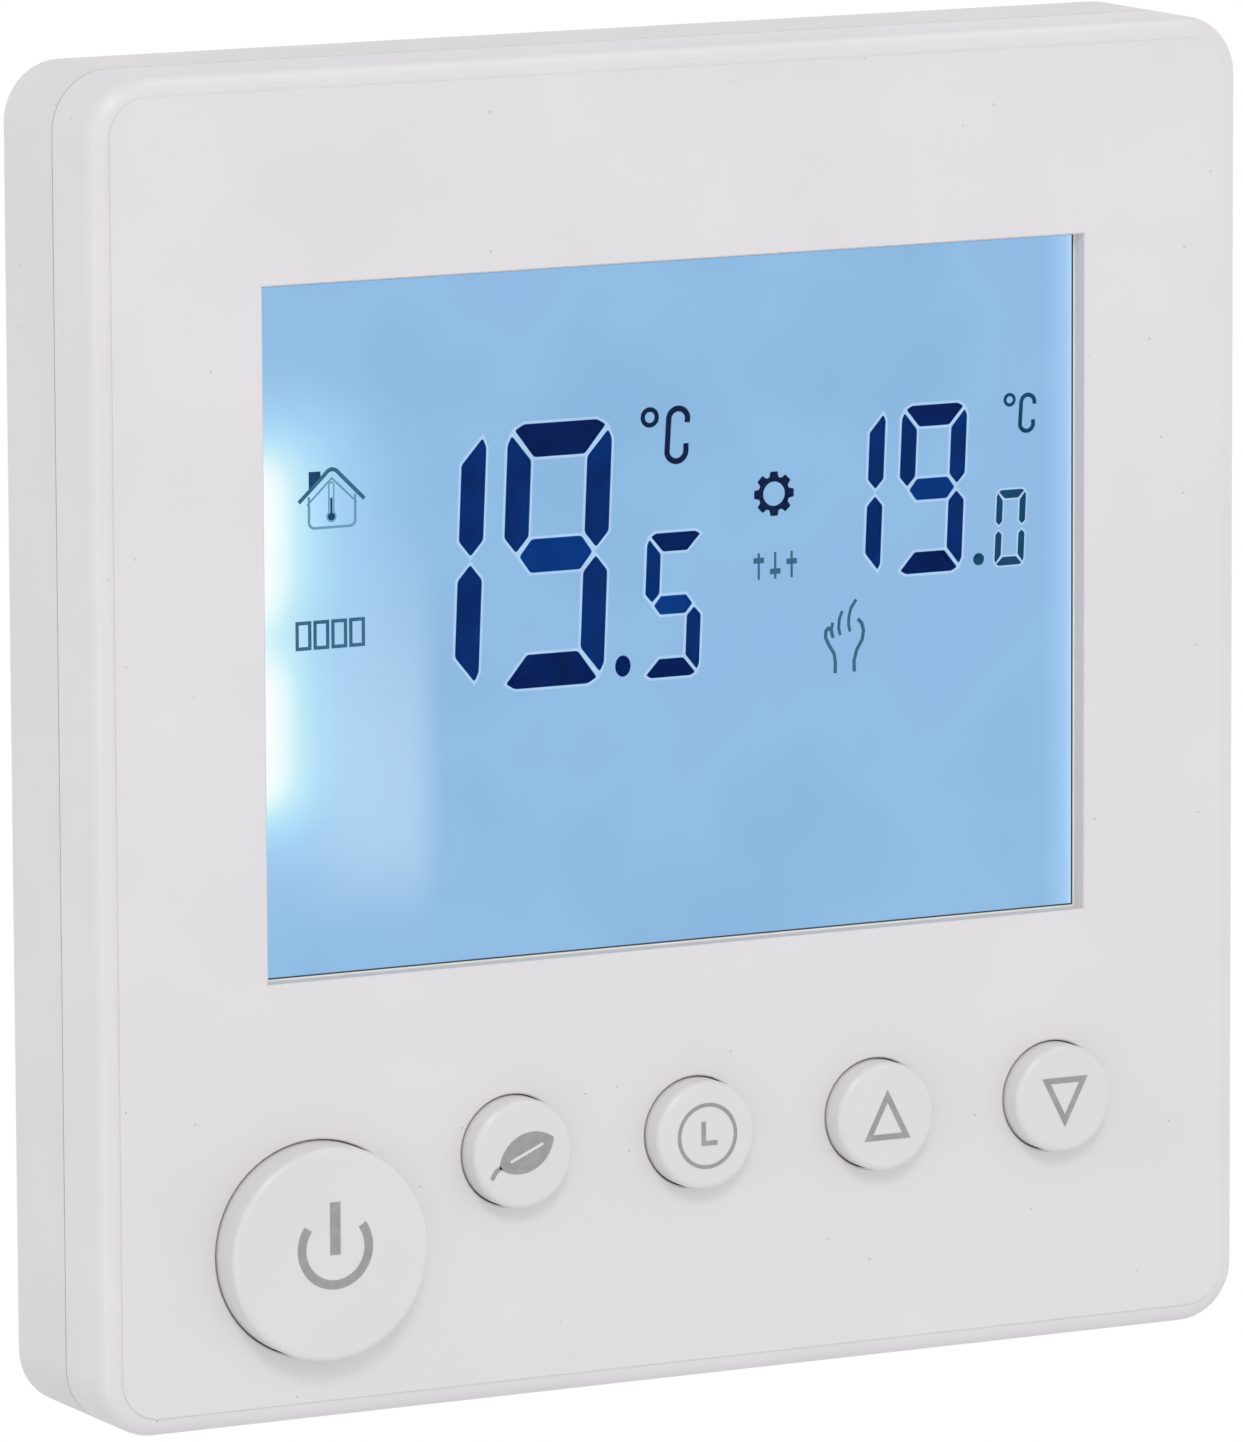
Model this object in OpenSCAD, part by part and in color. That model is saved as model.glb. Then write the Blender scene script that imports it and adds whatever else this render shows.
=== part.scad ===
// Wall thermostat with a backlit display, five push keys and a power box that sits
// inside the wall box. The origin is the middle of the wall plane, +Z is up, +X is
// right seen from the room, and +Y goes into the wall.

/* [Face and casing] */
// Width of the face
body_w = 86; // [84:0.5:104]
// Height of the face
body_h = 90; // [84:0.5:108]
// Radius of the four corners of the casing
corner_r = 4; // [2.5:0.5:7]
// Depth of the front cover, from its face to the joint line
cover_d = 6; // [5.8:0.1:9]
// Depth of the rear frame, from the joint line to the wall
frame_d = 7.5; // [7.2:0.1:12]
// Thickness of the cover behind its face
face_t = 1.5; // [1.2:0.1:2]
// Thickness of the side walls
wall_t = 2; // [1.5:0.1:2.5]
// Thickness of the rear frame's floor
floor_t = 2; // [1.6:0.1:3]
// Width of the rounded band round the face
band_w = 1.36; // [0.8:0.02:1.6]
// How far the band sits below the face
band_step = 0.15; // [0.05:0.05:0.3]
// Open gap of the joint line between cover and frame
joint_gap = 0.15; // [0.1:0.05:0.6]
// Chamfer on the front edges of the window opening and the key holes
edge_break = 0.1; // [0.05:0.05:0.25]

/* [Display] */
// Width of the window opening
window_w = 61.6; // [40:0.2:64]
// Height of the window opening
window_h = 46.2; // [30:0.2:48]
// Height of the window's centre above the casing's centre
window_z = 7.7; // [5:0.1:9]
// Thickness of the clear window
window_t = 0.8; // [0.6:0.1:1]
// How far the glass reaches past the opening on each side
glass_over = 2.2; // [1.5:0.1:2.6]
// Thickness of each display glass
glass_t = 0.7; // [0.5:0.1:0.8]
// Thickness of each polariser
polariser_t = 0.15; // [0.1:0.05:0.2]
// Thickness of the light guide
guide_t = 2; // [1.5:0.1:2.2]
// Number of contact pins along the display's top edge
pin_count = 24; // [8:1:24]

/* [Keys] */
// Diameter of the power key's hole
power_d = 14.6; // [12:0.2:17]
// Distance of the power key's centre from the left edge
power_left = 15.45; // [14:0.05:18]
// Distance of the power key's centre from the bottom edge
power_up = 11.7; // [11:0.1:13]
// How far the power key stands out of the face
power_out = 2.6; // [1:0.1:3.5]
// Diameter of the small keys' holes
small_d = 7.6; // [6:0.1:9]
// How far the small keys stand out of the face
small_out = 1.8; // [1:0.1:3]
// Distance of the last small key's centre from the right edge
small_right = 14.7; // [13:0.1:18]
// Distance of the small keys' centres from the bottom edge
small_up = 16.94; // [15:0.02:18]
// Distance between neighbouring small keys
small_pitch = 13.74; // [12:0.02:14.5]
// Clear gap round each key
key_gap = 0.1; // [0.08:0.02:0.3]
// How far a key travels when it is pressed
key_travel = 0.25; // [0.15:0.05:0.3]

/* [Power box and mounting] */
// Width of the power box
box_w = 48; // [46:0.5:50]
// Height of the power box
box_h = 58; // [56:0.5:64]
// How far the power box reaches behind the wall plane
box_d = 29.5; // [26:0.5:36]
// Wall thickness of the power box
box_wall = 1.6; // [1.2:0.1:2]
// Radius of the power box's outer corners
box_r = 1.5; // [0.5:0.1:1.8]
// Thickness of the steel mounting plate
plate_t = 1; // [0.8:0.1:1.5]
// Distance between the two wall screw slots
screw_spacing = 60; // [58:0.5:64]
// Width of each wall screw slot
slot_w = 4.2; // [3.8:0.1:5]
// Length of each wall screw slot, end to end
slot_l = 7; // [6:0.1:8]

/* [Terminals] */
// Number of wire terminals
poles = 6; // [4:1:6]
// Distance between neighbouring terminals
pole_pitch = 7; // [6.6:0.1:7.2]
// How far a wire clamp rises
clamp_travel = 2.5; // [1.5:0.1:2.6]

/* [Hidden] */
$fn = 48;
overlap = 0.01;

FRONT_NODES = ["front_cover", "display_window", "power_key", "eco_key", "clock_key",
    "up_key", "down_key", "power_plunger", "eco_plunger", "clock_plunger", "up_plunger",
    "down_plunger", "front_polariser", "lcd_front_glass", "lcd_rear_glass",
    "rear_polariser", "lcd_pins", "diffuser_sheet", "light_guide", "reflector_sheet",
    "backlight_leds", "display_frame", "display_board", "display_board_screws",
    "key_switch_bases", "key_switch_metal", "microcontroller", "coin_cell", "cell_holder",
    "board_socket", "room_sensor", "smd_parts"];
BASE_NODES = ["rear_frame", "mounting_plate", "power_box", "plate_screws", "power_board",
    "board_header", "transformer_core", "transformer_bobbin", "transformer_winding",
    "relay", "electrolytic_capacitors", "film_capacitor", "varistor", "fuse",
    "terminal_block", "terminal_contacts"];

// Depths along Y, from the room to the wall
y_face = -(cover_d + frame_d);
y_inside = y_face + face_t;
y_joint = -frame_d;
layer_gap = 0.1;
sheet_t = 0.2;
board_t = 1.2;
y_window = y_inside;
y_polariser = y_window + window_t + layer_gap;
y_glass = y_polariser + polariser_t;
y_rear_glass = y_glass + glass_t;
y_rear_polariser = y_rear_glass + glass_t;
y_diffuser = y_rear_polariser + polariser_t;
y_guide = y_diffuser + sheet_t;
y_reflector = y_guide + guide_t;
y_board = y_reflector + sheet_t + layer_gap;
y_board_back = y_board + board_t;

// Inside of the casing
lip_t = 1;
lip_gap = 0.15;
lip_reach = 2.2;
half_w = body_w / 2;
half_h = body_h / 2;
lip_x = half_w - wall_t - lip_gap - lip_t;
lip_z = half_h - wall_t - lip_gap - lip_t;
board_gap = 0.45;
board_x = lip_x - board_gap;
board_z = lip_z - board_gap;

// Keys: hole centre, hole diameter and height of each
power_x = power_left - half_w;
power_z = power_up - half_h;
small_x = half_w - small_right - 3 * small_pitch;
small_z = small_up - half_h;
KEYS = [[power_x, power_z, power_d, power_out],
    for (i = [0:3]) [small_x + i * small_pitch, small_z, small_d, small_out]];
flange_w = 0.9;
flange_t = 0.65;
key_edge_r = 0.45;
stem_d = 3;

// Key switches on the display board
switch_w = 6;
switch_h = 3.4;
switch_cover_t = 0.3;
plunger_d = 3.4;
plunger_out = 0.7;
plunger_in = 1.9;
plunger_gap = 0.08;
y_switch = y_board - switch_h;
y_plunger = y_switch - plunger_out;

// Display glass and its holder
glass_w = window_w + 2 * glass_over;
glass_h = window_h + 2 * glass_over + 0.4;
ledge_h = 2;
pin_w = 0.5;
pin_t = 0.2;
pin_hole_r = 0.45;
pin_pitch = 2.54;
pin_margin = 1.5;
pins = min(pin_count, 1 + floor((window_w - 2 * pin_margin) / pin_pitch));
holder_gap = 0.15;
holder_wall = 1.3;
holder_bottom = window_z - glass_h / 2 - holder_gap;
holder_top = window_z + glass_h / 2 + ledge_h + 1.2;
holder_x = glass_w / 2 + holder_gap;
z_pins = window_z + glass_h / 2 + ledge_h;
led_w = 3.8;
led_t = 1.3;
led_h = 2.1;
led_spread = 8.2;
peg_r = 0.6;

// Screws that hold the display board to the cover
post_r = 2.2;
board_screw_r = 1;
thread_gap = 0.03;
post_inset_x = board_x - 2.5;
post_inset_z = board_z - 2.6;
board_screw_l = 5;
board_screw_head_r = 1.9;
board_screw_head_h = 1.3;

// Latch tabs of the cover and the ribs that guide them
latch_w = 8;
latch_x = 20;
latch_end = 0.6;
rib_t = 1;
rib_gap = 0.4;

// Steel plate, box posts and their screws
y_plate = -floor_t - plate_t;
plate_w = 76;
plate_h = 74;
plate_chamfer = 6;
plate_window_w = 33;
plate_window_h = 46;
box_post_r = 2.8;
box_post_x = box_w / 2 - box_wall - 1.8;
box_post_top = box_h / 2 - box_wall - 1.8;
box_post_low = -11;
BOX_POSTS = [for (x = [-1, 1]) for (z = [box_post_low, box_post_top]) [x * box_post_x, z]];
plate_screw_r = 1.4;
plate_screw_l = 9;
plate_screw_head_r = 2.7;
plate_screw_head_h = 1.7;
box_fit = 0.2;
tab_w = 40;
tab_reach = 2;
tab_t = 1;

// Power board and what stands on it
y_power = 3;
power_board_t = 1.6;
y_parts = y_power + power_board_t;
box_x = box_w / 2 - box_wall;
box_z = box_h / 2 - box_wall;
board_fit = 0.2;
step_z = -15;
step_d = 8;

// Terminal block
block_h = 12;
block_out = 21;
block_w = poles * pole_pitch + 1.6;
block_low = -(box_z - board_fit);
block_z = block_low + block_h / 2;
block_gap = 0.2;
cage_w = 5.2;
cage_h = 5;
cage_wall = 0.7;
cage_top_t = 1.5;
cage_base_t = 1;
cage_gap = 0.15;
block_floor = 1.6;
y_cage = y_parts + block_floor + 0.2;
wire_room = 2.8;
y_bar = y_cage + cage_base_t + wire_room;
bar_t = 1;
bar_w = 3.4;
y_cage_top = y_bar + bar_t + 1.6;
y_ceiling = y_cage_top + cage_top_t + clamp_travel + 0.2;
screw_z = block_low + 5.7;
screw_r = 1.5;
screw_fit = 0.04;
screw_head_r = 2.1;
screw_head_h = 1.9;
screw_lip = 0.8;
y_screw_head = y_ceiling + screw_lip + 0.05;
channel_h = 10.2;
channel_w = cage_w + 2 * cage_gap;

// Board to board connector
way_count = 8;
way_pitch = 2.54;
connector_z = -21.5;
connector_t = 2.5;
socket_h = 5;
connector_pin = 0.64;
connector_fit = 0.1;

function pole_x(i) = (i - (poles - 1) / 2) * pole_pitch;

// Block from its middle in X and Z and its two ends in Y
module plate_block(w, h, y0, y1, x = 0, z = 0) {
    translate([x - w / 2, y0, z - h / 2]) cube([w, y1 - y0, h]);
}

// Round bar along Y
module rod(r, y0, y1, x = 0, z = 0) {
    translate([x, y0, z]) rotate([-90, 0, 0]) cylinder(h = y1 - y0, r = r);
}

// Slot through a plate, long in X
module slot_cut(w, l, y0, y1, x, z) {
    plate_block(l - w, w, y0, y1, x, z);
    for (side = [-1, 1]) rod(w / 2, y0, y1, x + side * (l - w) / 2, z);
}

// Flat rectangle with round corners, drawn in X and Z
module round_rect(w, h, r) {
    square([w - 2 * r, h], center = true);
    square([w, h - 2 * r], center = true);
    for (x = [-1, 1]) for (z = [-1, 1])
        translate([x * (w / 2 - r), z * (h / 2 - r)]) circle(r);
}

// Round rectangle from y0 to y1
module round_block(w, h, r, y0, y1) {
    translate([0, y1, 0]) rotate([90, 0, 0])
        linear_extrude(y1 - y0) round_rect(w, h, r);
}

// Quarter round of the band, drawn outwards from its centre
module band_profile() {
    intersection() {
        circle(band_w);
        square([band_w + overlap, band_w + overlap]);
    }
}

// Rounded band round the face, made of four straight stretches and four corners
module face_band() {
    y0 = y_face + band_step + band_w;
    inner = corner_r - band_w;
    for (c = [[1, 1, 0], [1, -1, 90], [-1, -1, 180], [-1, 1, 270]])
        translate([c[0] * (half_w - corner_r), y0, c[1] * (half_h - corner_r)])
            rotate([90, c[2], 0])
                rotate_extrude(angle = 90) translate([inner, 0]) band_profile();
    for (side = [-1, 1]) {
        translate([side * (half_w - band_w), y0, 0]) mirror([side < 0 ? 1 : 0, 0, 0])
            translate([0, 0, -(half_h - corner_r)])
                linear_extrude(2 * (half_h - corner_r)) mirror([0, 1]) band_profile();
        translate([0, y0, side * (half_h - band_w)]) mirror([0, 0, side < 0 ? 1 : 0])
            translate([half_w - corner_r, 0, 0]) rotate([0, -90, 0])
                linear_extrude(2 * (half_w - corner_r)) mirror([0, 1]) band_profile();
    }
}

module board_posts(r, y0, y1) {
    for (x = [-1, 1]) for (z = [-1, 1])
        rod(r, y0, y1, x * post_inset_x, z * post_inset_z);
}

// Outer shell of the front: face, side walls, lip, posts and latch tabs
module front_cover() {
    y_band = y_face + band_step + band_w;
    y_rim = y_joint - joint_gap / 2;
    lip_w = 2 * (lip_x + lip_t);
    lip_h = 2 * (lip_z + lip_t);
    color("gainsboro") difference() {
        union() {
            round_block(body_w, body_h, corner_r, y_band, y_rim);
            round_block(body_w - 2 * band_w, body_h - 2 * band_w, corner_r - band_w,
                y_face, y_band + overlap);
            face_band();
            round_block(lip_w, lip_h, corner_r - wall_t - lip_gap,
                y_rim - 1, y_joint + lip_reach);
            for (x = [-1, 1]) for (z = [-1, 1])
                plate_block(latch_w, lip_t, y_joint, -floor_t - latch_end,
                    x * latch_x, z * (lip_z + lip_t / 2));
        }
        difference() {
            round_block(2 * lip_x, 2 * lip_z, corner_r - wall_t - lip_gap - 0.5, y_inside, 0);
            board_posts(post_r, y_inside - 1, y_board);
        }
        board_posts(board_screw_r + thread_gap, y_inside + 0.4, y_board + 1);
        plate_block(window_w, window_h, y_face - 1, y_inside + 1, 0, window_z);
        for (k = KEYS) rod(k[2] / 2, y_face - 1, y_inside + 1, k[0], k[1]);
        window_chamfer();
        key_hole_chamfers();
        cover_vents();
        pry_notches(y_rim - 1.2, y_rim + 1);
    }
}

// Widens from half at the chamfer's foot to half plus the chamfer at the face
module chamfer_profile(half) {
    out = half + edge_break + overlap;
    polygon([[-half, y_face + edge_break], [half, y_face + edge_break],
        [out, y_face - overlap], [-out, y_face - overlap]]);
}

module window_chamfer() {
    intersection() {
        translate([0, 0, window_z - window_h]) linear_extrude(2 * window_h)
            chamfer_profile(window_w / 2);
        translate([-window_w, 0, window_z]) rotate([0, 90, 0])
            linear_extrude(2 * window_w) chamfer_profile(window_h / 2);
    }
}

module key_hole_chamfers() {
    for (k = KEYS) translate([k[0], y_face - overlap, k[1]]) rotate([-90, 0, 0])
        cylinder(h = edge_break + overlap, r1 = k[2] / 2 + edge_break + overlap, r2 = k[2] / 2);
}

// Air slots for the room sensor, in the underside of the cover
module cover_vents() {
    slot = 1.4;
    for (i = [0:5])
        translate([8 + i * 2.8, y_inside + 0.3, -half_h - 1])
            cube([slot, y_board - y_inside - 1.1, wall_t + lip_t + 3]);
}

// Notches for a screwdriver at the bottom of the joint line
module pry_notches(y0, y1) {
    for (side = [-1, 1])
        translate([side * 22 - 4, y0, -half_h - 1]) cube([8, y1 - y0, 1 + wall_t * 0.6]);
}

module display_window() {
    color("lightcyan", 0.4)
        plate_block(window_w + 3.4, window_h + 3.4, y_window, y_window + window_t,
            0, window_z);
}

// A key's cap, its retaining flange and the stem that meets the plunger
module key(k) {
    r = k[2] / 2 - key_gap;
    y_top = y_face - k[3];
    y_flange = y_inside + layer_gap;
    translate([k[0], 0, k[1]]) rotate([90, 0, 0]) rotate_extrude() {
        translate([0, -y_flange]) square([r, y_flange - y_top - key_edge_r]);
        square_top = -y_top - key_edge_r;
        translate([0, square_top - overlap]) square([r - key_edge_r, key_edge_r + overlap]);
        intersection() {
            translate([r - key_edge_r, square_top]) circle(key_edge_r);
            translate([r - key_edge_r, square_top]) square(key_edge_r + overlap);
        }
        translate([0, -y_flange - flange_t]) square([r + flange_w, flange_t]);
        translate([0, -y_plunger]) square([stem_d / 2, y_plunger - y_flange]);
    }
}

module power_key() { color("whitesmoke") key(KEYS[0]); }
module eco_key() { color("whitesmoke") key(KEYS[1]); }
module clock_key() { color("whitesmoke") key(KEYS[2]); }
module up_key() { color("whitesmoke") key(KEYS[3]); }
module down_key() { color("whitesmoke") key(KEYS[4]); }

// Plunger of one key switch, with the collar that keeps it in the switch
module plunger(k) {
    rod(plunger_d / 2 - plunger_gap - 0.3, y_plunger, y_switch + plunger_in, k[0], k[1]);
    rod(plunger_d / 2 - plunger_gap, y_switch + switch_cover_t + 0.05,
        y_switch + plunger_in, k[0], k[1]);
}

module power_plunger() { color("dimgray") plunger(KEYS[0]); }
module eco_plunger() { color("dimgray") plunger(KEYS[1]); }
module clock_plunger() { color("dimgray") plunger(KEYS[2]); }
module up_plunger() { color("dimgray") plunger(KEYS[3]); }
module down_plunger() { color("dimgray") plunger(KEYS[4]); }

// Moulded bases of the five key switches
module key_switch_bases() {
    y_pocket = y_switch + plunger_in + key_travel + 0.1;
    color("dimgray") for (k = KEYS) difference() {
        plate_block(switch_w, switch_w, y_switch + switch_cover_t, y_board, k[0], k[1]);
        rod(plunger_d / 2, y_switch, y_pocket, k[0], k[1]);
    }
}

// Sheet metal covers and soldered feet of the key switches
module key_switch_metal() {
    foot_w = 0.7;
    foot_l = 1.2;
    color("silver") for (k = KEYS) {
        difference() {
            plate_block(switch_w, switch_w, y_switch, y_switch + switch_cover_t, k[0], k[1]);
            rod(plunger_d / 2 - 0.3, y_switch - 1, y_switch + 1, k[0], k[1]);
        }
        for (x = [-1, 1]) for (z = [-1, 1])
            plate_block(foot_l, foot_w, y_board - pin_t, y_board,
                k[0] + x * (switch_w + foot_l) / 2, k[1] + z * switch_w * 0.35);
    }
}

module front_polariser() {
    color("lightsteelblue", 0.6)
        plate_block(glass_w - 1, glass_h - 1, y_polariser, y_glass, 0, window_z);
}

module lcd_front_glass() {
    color("skyblue") plate_block(glass_w, glass_h, y_glass, y_rear_glass, 0, window_z);
}

module lcd_rear_glass() {
    color("skyblue") plate_block(glass_w, glass_h + ledge_h, y_rear_glass,
        y_rear_polariser, 0, window_z + ledge_h / 2);
}

module rear_polariser() {
    color("lightsteelblue", 0.6)
        plate_block(glass_w - 1, glass_h - 1, y_rear_polariser, y_diffuser, 0, window_z);
}

// Contact pins that clip on the glass ledge and run back to the board
module lcd_pins() {
    color("silver") for (i = [0:pins - 1]) {
        x = (i - (pins - 1) / 2) * pin_pitch;
        translate([x - pin_w / 2, 0, 0]) {
            translate([0, y_rear_glass - pin_t, z_pins - 1]) cube([pin_w, pin_t, 1 + pin_t]);
            translate([0, y_rear_glass - pin_t, z_pins])
                cube([pin_w, y_board_back + 0.5 - y_rear_glass + pin_t, pin_t]);
        }
    }
}

module diffuser_sheet() {
    color("white") plate_block(glass_w, glass_h, y_diffuser, y_guide, 0, window_z);
}

module light_guide() {
    color("aliceblue", 0.7)
        plate_block(glass_w, glass_h, y_guide, y_reflector, 0, window_z);
}

module reflector_sheet() {
    color("white")
        plate_block(glass_w, glass_h, y_reflector, y_reflector + sheet_t, 0, window_z);
}

// Side-firing lamps at the left edge of the light guide
module backlight_leds() {
    x = -(glass_w / 2 + layer_gap + led_t / 2);
    color("lightyellow") for (side = [-1, 1])
        plate_block(led_t, led_w, y_board - led_h, y_board, x, window_z + side * led_spread);
}

// White holder round the glass and light guide, pegged to the board
module display_frame() {
    holder_h = holder_top - holder_bottom;
    z = (holder_top + holder_bottom) / 2;
    y0 = y_window + window_t + 0.05;
    led_cut = led_w + 0.6;
    color("white") {
        difference() {
            plate_block(2 * (holder_x + holder_wall), holder_h + 2 * holder_wall,
                y0, y_board, 0, z);
            plate_block(2 * holder_x, holder_h, y0 - 1, y_board + 1, 0, z);
            for (side = [-1, 1])
                plate_block(4, led_cut, y_board - led_h - 0.2, y_board + 1,
                    -holder_x - holder_wall, window_z + side * led_spread);
        }
        holder_pegs(peg_r, y_board - overlap, y_board_back + 0.4);
    }
}

module holder_pegs(r, y0, y1) {
    for (x = [-1, 1]) for (z = [holder_bottom - holder_wall / 2, holder_top + holder_wall / 2])
        rod(r, y0, y1, x * (holder_x - 8), z);
}

// Board that carries the display, the key switches and the controller
module display_board() {
    color("seagreen") difference() {
        plate_block(2 * board_x, 2 * board_z, y_board, y_board_back);
        for (x = [-1, 1]) for (z = [-1, 1])
            plate_block(2, 2, y_board - 1, y_board_back + 1, x * board_x, z * board_z);
        board_posts(board_screw_r + 0.15, y_board - 1, y_board_back + 1);
        holder_pegs(peg_r + 0.08, y_board - 1, y_board_back + 1);
        for (i = [0:pins - 1])
            rod(pin_hole_r, y_board - 1, y_board_back + 1,
                (i - (pins - 1) / 2) * pin_pitch, z_pins + pin_t / 2);
    }
}

// Pan head screw along Y, with its drive cross, pointing at -Y or +Y
module pan_screw(r, l, head_r, head_h, drive) {
    rotate([-90, 0, 0]) difference() {
        union() {
            cylinder(h = l, r = r);
            translate([0, 0, -head_h]) cylinder(h = head_h, r = head_r);
        }
        for (a = [0, 90]) rotate([0, 0, a])
            translate([-head_r * 0.6, -drive / 2, -head_h - 1])
                cube([head_r * 1.2, drive, 1 + head_h * 0.55]);
    }
}

module display_board_screws() {
    color("silver") for (x = [-1, 1]) for (z = [-1, 1])
        translate([x * post_inset_x, y_board_back, z * post_inset_z]) rotate([0, 0, 180])
            pan_screw(board_screw_r, board_screw_l, board_screw_head_r,
                board_screw_head_h, 0.6);
}

module microcontroller() {
    color("dimgray") plate_block(10, 10, y_board_back + 0.1, y_board_back + 1.5, -3, -3);
}

module coin_cell() {
    color("silver") rod(6.2, y_board_back + 0.4, y_board_back + 2.4, 0, 15);
}

// Clip for the clock's coin cell
module cell_holder() {
    color("dimgray") difference() {
        plate_block(17, 15, y_board_back, y_board_back + 2.8, 0, 15);
        rod(6.35, y_board_back + 0.4, y_board_back + 4, 0, 15);
        plate_block(6, 8, y_board_back + 0.4, y_board_back + 4, 0, 22);
    }
}

// Row of square holes for the header's pins
module board_socket() {
    hole = connector_pin + 2 * connector_fit;
    color("dimgray") difference() {
        plate_block(way_count * way_pitch, connector_t, y_board_back,
            y_board_back + socket_h, 0, connector_z);
        for (i = [0:way_count - 1])
            plate_block(hole, hole, y_board_back + 0.6, y_board_back + socket_h + 1,
                (i - (way_count - 1) / 2) * way_pitch, connector_z);
    }
}

module board_header() {
    color("goldenrod") {
        plate_block(way_count * way_pitch, connector_t, y_power - connector_t, y_power,
            0, connector_z);
        for (i = [0:way_count - 1])
            plate_block(connector_pin, connector_pin, y_board_back + 1, y_power,
                (i - (way_count - 1) / 2) * way_pitch, connector_z);
    }
}

// Bead thermistor behind the air slots
module room_sensor() {
    bead_r = 1.2;
    z = -(board_z - 3);
    color("black") translate([15, y_board - 1.8, z]) {
        sphere(bead_r);
        rotate([-90, 0, 0]) cylinder(h = 1.8, r = 0.5);
    }
}

// Small chip parts on the back of the display board
module smd_parts() {
    color("burlywood") for (i = [0:4]) for (j = [0:1])
        plate_block(1.6, 0.8, y_board_back, y_board_back + 0.6, -12 + i * 3.4, -10.5 - j * 1.9);
}

// Frame against the wall, with the opening for the power box
module rear_frame() {
    y_rim = y_joint + joint_gap / 2;
    inner_w = body_w - 2 * wall_t;
    inner_h = body_h - 2 * wall_t;
    color("gainsboro") difference() {
        round_block(body_w, body_h, corner_r, y_rim, 0);
        difference() {
            round_block(inner_w, inner_h, corner_r - wall_t, y_rim - 1, -floor_t);
            latch_ribs();
        }
        plate_block(box_w + 2 * box_fit, box_h + 2 * box_fit, -floor_t - 1, 1);
        plate_block(tab_w + 2 * box_fit, box_h + 2 * (tab_reach + box_fit), -tab_t, 1);
        for (side = [-1, 1])
            slot_cut(slot_w + 1.6, slot_l + 0.6, -floor_t - 1, 1, side * screw_spacing / 2, 0);
        pry_notches(y_rim - 1, y_rim + 1.2);
    }
}

// Pairs of ribs on the frame's floor, one pair for each latch tab
module latch_ribs() {
    y0 = y_joint + lip_reach + 0.3;
    for (x = [-1, 1]) for (z = [-1, 1]) for (side = [-1, 1])
        plate_block(rib_t, 2 * (lip_t + lip_gap), y0, 0,
            x * latch_x + side * (latch_w / 2 + rib_gap + rib_t / 2),
            z * (half_h - wall_t));
}

// Steel plate that the wall screws clamp
module mounting_plate() {
    half_pw = plate_w / 2;
    half_ph = plate_h / 2;
    c = plate_chamfer;
    color("silver") difference() {
        translate([0, y_plate + plate_t, 0]) rotate([90, 0, 0]) linear_extrude(plate_t)
            polygon([[c - half_pw, -half_ph], [half_pw - c, -half_ph], [half_pw, c - half_ph],
                [half_pw, half_ph - c], [half_pw - c, half_ph], [c - half_pw, half_ph],
                [-half_pw, half_ph - c], [-half_pw, c - half_ph]]);
        plate_block(plate_window_w, plate_window_h, y_plate - 1, y_plate + plate_t + 1);
        for (side = [-1, 1])
            slot_cut(slot_w, slot_l, y_plate - 1, y_plate + plate_t + 1,
                side * screw_spacing / 2, 0);
        for (p = BOX_POSTS)
            rod(plate_screw_r + 0.2, y_plate - 1, y_plate + plate_t + 1, p[0], p[1]);
    }
}

module plate_screws() {
    color("silver") for (p = BOX_POSTS) translate([p[0], y_plate, p[1]])
        pan_screw(plate_screw_r, plate_screw_l, plate_screw_head_r, plate_screw_head_h, 0.8);
}

// Power box: shell, step for the terminals, posts for the plate screws
module power_box() {
    y_rim = -floor_t;
    color("whitesmoke") difference() {
        union() {
            round_block(box_w, box_h, box_r, y_rim, step_d);
            translate([0, 0, (box_h / 2 + step_z) / 2])
                round_block(box_w, box_h / 2 - step_z, box_r, y_rim, box_d);
            plate_block(tab_w, box_h + 2 * tab_reach, -tab_t, 0);
        }
        difference() {
            union() {
                plate_block(2 * box_x, 2 * box_z, y_rim - 1, step_d - box_wall);
                translate([-box_x, y_rim - 1, step_z + box_wall])
                    cube([2 * box_x, box_d - box_wall - y_rim + 1, box_z - step_z - box_wall]);
            }
            for (p = BOX_POSTS) rod(box_post_r, y_rim, box_d, p[0], p[1]);
            for (side = [-1, 1])
                plate_block(2, 12, y_parts + 0.05, y_parts + 1.6, side * box_x, 5);
        }
        for (p = BOX_POSTS) rod(plate_screw_r + thread_gap, y_rim - 1, y_rim + 10, p[0], p[1]);
        plate_block(block_w + 2 * block_gap, block_h + 2 * block_gap, y_parts, step_d + 1,
            0, block_z);
        box_vents();
    }
}

// Cooling slots in the top of the power box
module box_vents() {
    for (i = [-3:3])
        translate([i * 4.5 - 0.75, 10, box_z - 1]) cube([1.5, box_d - 16, box_wall + 2]);
}

// Mains board inside the power box
module power_board() {
    notch = box_post_r + 0.3;
    color("peru") difference() {
        plate_block(2 * (box_x - board_fit), 2 * (box_z - board_fit), y_power, y_parts);
        for (p = BOX_POSTS)
            translate([p[0] > 0 ? p[0] - notch : -box_x - 1, y_power - 1, p[1] - notch])
                cube([box_x + 1 - abs(p[0]) + notch, power_board_t + 2,
                    p[1] > 0 ? 2 * notch + 4 : 2 * notch]);
        for (i = [0:poles - 1])
            plate_block(1.3, 1.1, y_power - 1, y_parts + 1, pole_x(i), block_low + 9.4);
    }
}

// Ferrite core: a ring with a middle leg
module transformer_core() {
    color("dimgray") translate([-11, y_parts + 1.7, 15]) difference() {
        translate([-8.5, 0, -2.5]) cube([17, 15, 5]);
        for (side = [-1, 1])
            translate([side * 4.25 - 1.75, 2.5, -3]) cube([3.5, 10, 6]);
    }
}

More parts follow.
